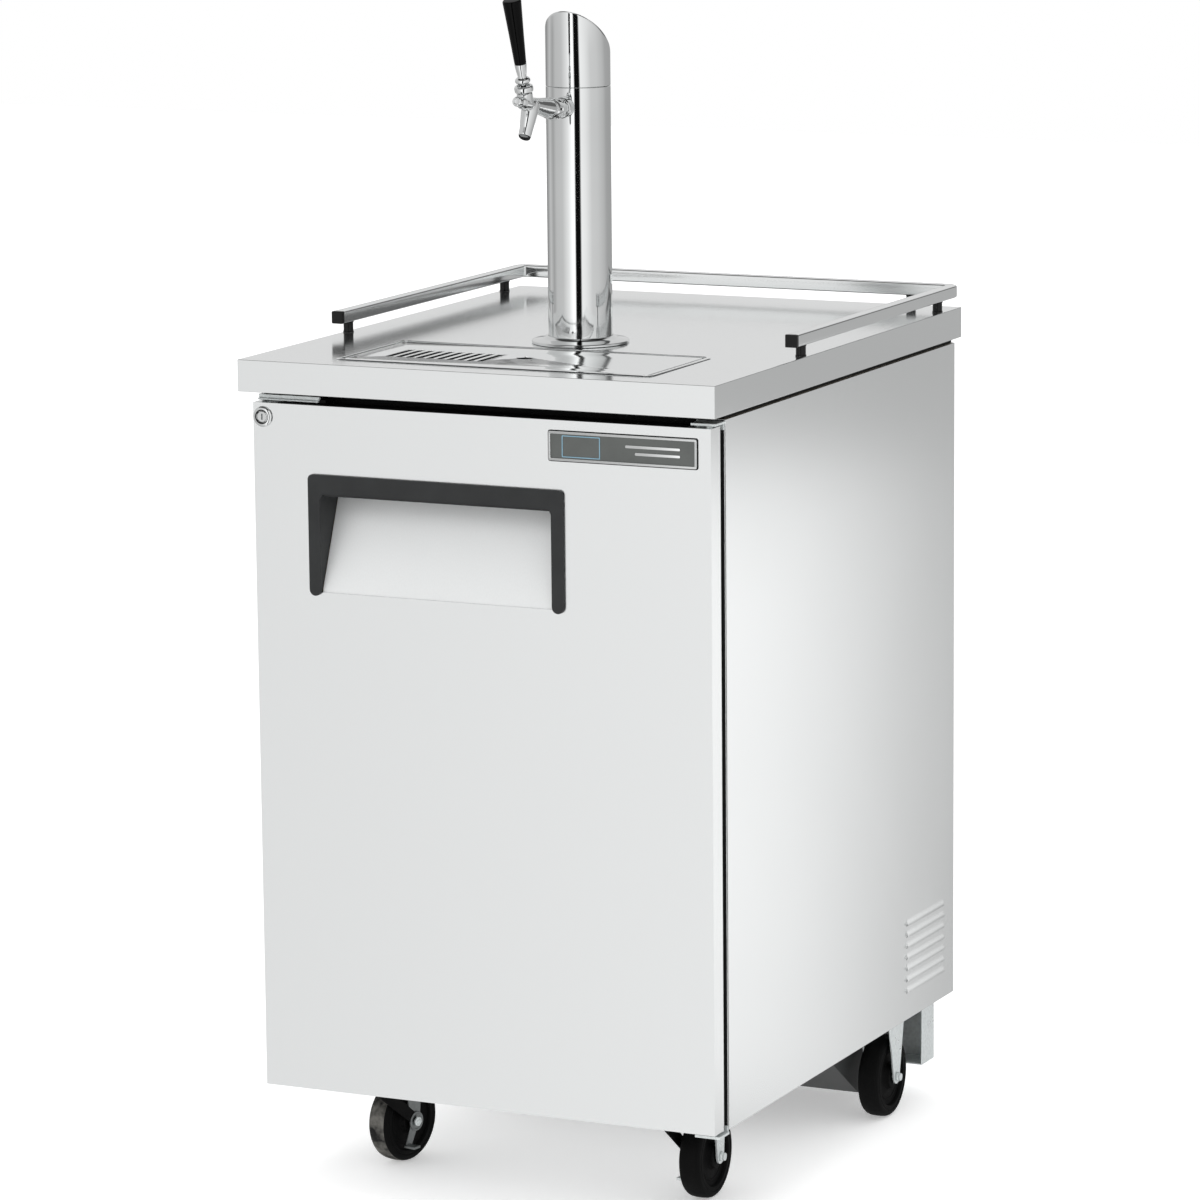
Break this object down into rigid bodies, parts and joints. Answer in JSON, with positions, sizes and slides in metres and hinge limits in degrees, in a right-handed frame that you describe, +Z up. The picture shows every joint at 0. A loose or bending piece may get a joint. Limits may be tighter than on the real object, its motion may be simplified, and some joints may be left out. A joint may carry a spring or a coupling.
{
  "type": "kegerator",
  "caption": "Single-tap draught beer dispenser: a refrigerated keg cabinet on casters with a drip tray, a gallery rail and a chrome tower.",
  "frame": {"origin": "on the floor, under the middle of the worktop", "axes": "+Z up, the door and the tap face -Y, +X to the right seen from the front"},
  "size_m": [0.607, 0.75, 1.4152],
  "materials": {
    "stainless": "brushed stainless sheet",
    "worktop_steel": "bright stainless sheet",
    "rail_steel": "bright square tube",
    "chrome": "polished",
    "valve_steel": "turned",
    "zinc": "zinc-plated pressing",
    "black_plastic": "fine-grained",
    "gloss_black": "gloss",
    "black_enamel": "gloss enamel on a shell",
    "rubber": "matt",
    "wheel_rubber": "matt, dusty tread",
    "dark_paint": "satin",
    "foam": "rigid foam, cut",
    "liner": "satin sheet",
    "board": "particle board",
    "copper": "finned copper",
    "plate": "satin grey",
    "clear_hose": "milky"
  },
  "bodies": {
    "cabinet": {"left_side_panel": "stainless", "right_side_panel": "stainless", "rear_panel": "zinc", "mains_inlet": "black_plastic", "cabinet_frame": "stainless", "cabinet_insulation": "foam", "interior_liner": "liner", "counter_gasket": "rubber", "countertop": "worktop_steel", "countertop_core": "board", "drip_tray_pan": "worktop_steel", "gallery_rail": "rail_steel", "rail_end_cap_left": "black_plastic", "rail_end_cap_right": "black_plastic", "tower_flange": "chrome", "tower_column": "chrome", "tower_cap": "chrome", "shank": "chrome", "beer_line": "clear_hose", "coupling_nut": "chrome", "faucet_body": "chrome", "faucet_bonnet": "chrome", "top_hinge": "zinc", "bottom_hinge": "zinc", "strike_plate": "zinc", "evaporator_cover": "liner", "evaporator_coil": "copper", "compressor": "black_enamel", "condenser_coil": "copper", "machine_pan": "dark_paint", "rear_channel": "zinc", "left_swivel_plate": "zinc", "left_rigid_fork": "zinc", "right_swivel_plate": "zinc", "right_rigid_fork": "zinc"},
    "door": {"door_skin": "stainless", "handle_recess": "stainless", "handle_grip": "black_plastic", "door_insulation": "foam", "door_inner_panel": "liner", "door_gasket": "rubber", "makers_plate": "plate", "lock_barrel": "chrome"},
    "lock": {"lock_plug": "chrome"},
    "lever": {"tap_lever": "chrome", "tap_handle": "gloss_black"},
    "valve": {"valve_shaft": "valve_steel"},
    "grille": {"drip_grille": "worktop_steel"},
    "evaporator_fan": {"evaporator_fan": "black_plastic"},
    "condenser_fan": {"condenser_fan": "black_plastic"},
    "thermostat": {"thermostat_knob": "black_plastic"},
    "left_caster": {"left_swivel_fork": "zinc"},
    "left_brake": {"left_brake_pedal": "zinc"},
    "left_front_wheel": {"left_front_wheel": "wheel_rubber"},
    "left_rear_wheel": {"left_rear_wheel": "wheel_rubber"},
    "right_caster": {"right_swivel_fork": "zinc"},
    "right_brake": {"right_brake_pedal": "zinc"},
    "right_front_wheel": {"right_front_wheel": "wheel_rubber"},
    "right_rear_wheel": {"right_rear_wheel": "wheel_rubber"}
  },
  "joints": [
    {"name": "door_hinge", "type": "hinge", "parent": "cabinet", "child": "door", "pos_m": [0.286, -0.35, 0.5], "axis": [0, 0, 1], "range_deg": [0, 120]},
    {"name": "lock_turn", "type": "hinge", "parent": "door", "child": "lock", "pos_m": [-0.277, -0.35, 0.93], "axis": [0, -1, 0], "range_deg": [0, 90]},
    {"name": "lever_pull", "type": "hinge", "parent": "cabinet", "child": "lever", "pos_m": [0.004, -0.23478, 1.30001], "axis": [1, 0, 0], "range_deg": [0, 16]},
    {"name": "valve_slide", "type": "slide", "parent": "cabinet", "child": "valve", "axis": [0, 0.9848, -0.1736], "range_m": [0, 0.0026]},
    {"name": "grille_lift", "type": "slide", "parent": "cabinet", "child": "grille", "axis": [0, 0, 1], "range_m": [0, 0.1]},
    {"name": "left_swivel", "type": "hinge", "parent": "cabinet", "child": "left_caster", "pos_m": [-0.205, -0.229, 0.1], "axis": [0, 0, 1], "continuous": true},
    {"name": "right_swivel", "type": "hinge", "parent": "cabinet", "child": "right_caster", "pos_m": [0.205, -0.229, 0.1], "axis": [0, 0, 1], "continuous": true},
    {"name": "left_front_roll", "type": "hinge", "parent": "left_caster", "child": "left_front_wheel", "pos_m": [-0.19751, -0.19379, 0.051], "axis": [0.9781, -0.2079, 0], "continuous": true},
    {"name": "right_front_roll", "type": "hinge", "parent": "right_caster", "child": "right_front_wheel", "pos_m": [0.205, -0.193, 0.051], "axis": [1, 0, 0], "continuous": true},
    {"name": "left_rear_roll", "type": "hinge", "parent": "cabinet", "child": "left_rear_wheel", "pos_m": [-0.261, 0.22, 0.051], "axis": [1, 0, 0], "continuous": true},
    {"name": "right_rear_roll", "type": "hinge", "parent": "cabinet", "child": "right_rear_wheel", "pos_m": [0.261, 0.22, 0.051], "axis": [1, 0, 0], "continuous": true},
    {"name": "left_brake_press", "type": "hinge", "parent": "left_caster", "child": "left_brake", "pos_m": [-0.19751, -0.19379, 0.051], "axis": [0.9781, -0.2079, 0], "range_deg": [0, 10]},
    {"name": "right_brake_press", "type": "hinge", "parent": "right_caster", "child": "right_brake", "pos_m": [0.205, -0.193, 0.051], "axis": [1, 0, 0], "range_deg": [0, 10]},
    {"name": "evaporator_fan_spin", "type": "hinge", "parent": "cabinet", "child": "evaporator_fan", "pos_m": [-0.075, 0.21, 0.823], "axis": [0, 1, 0], "continuous": true},
    {"name": "condenser_fan_spin", "type": "hinge", "parent": "cabinet", "child": "condenser_fan", "pos_m": [0.105, 0.272, 0.17], "axis": [0, 1, 0], "continuous": true},
    {"name": "thermostat_turn", "type": "hinge", "parent": "cabinet", "child": "thermostat", "pos_m": [0.15, 0.1957, 0.776], "axis": [0, -1, 0], "range_deg": [0, 270]}
  ],
  "couplings": [
    {"joint": "valve_slide", "follows": "lever_pull", "m_per_rad": 0.008}
  ]
}
